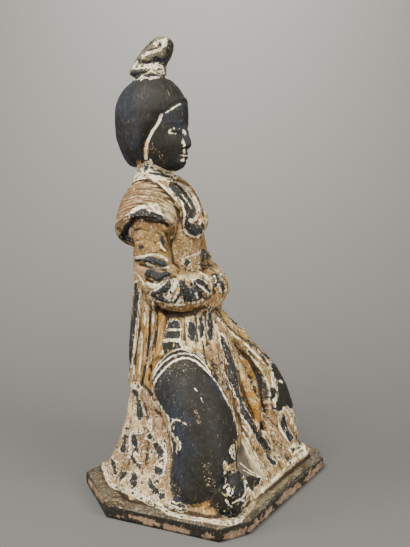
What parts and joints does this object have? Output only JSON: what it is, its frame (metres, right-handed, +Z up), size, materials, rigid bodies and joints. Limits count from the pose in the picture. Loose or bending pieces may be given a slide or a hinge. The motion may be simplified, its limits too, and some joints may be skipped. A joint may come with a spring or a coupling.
{
  "type": "terracotta votive figure",
  "caption": "Seated court lady in fired clay with a raised topknot, folded sleeved arms and a spreading skirt, joined to a flat plate with cut corners that it stands on.",
  "frame": {"origin": "middle of the underside of the base plate", "axes": "+Z up, -Y the way the figure faces, -X its right hand"},
  "size_m": [0.258, 0.21, 0.474],
  "materials": {
    "terracotta": "matt fired clay with worn white slip and black, ochre and pink pigment"
  },
  "bodies": {
    "root": {"votive_figure": "terracotta"}
  },
  "joints": []
}
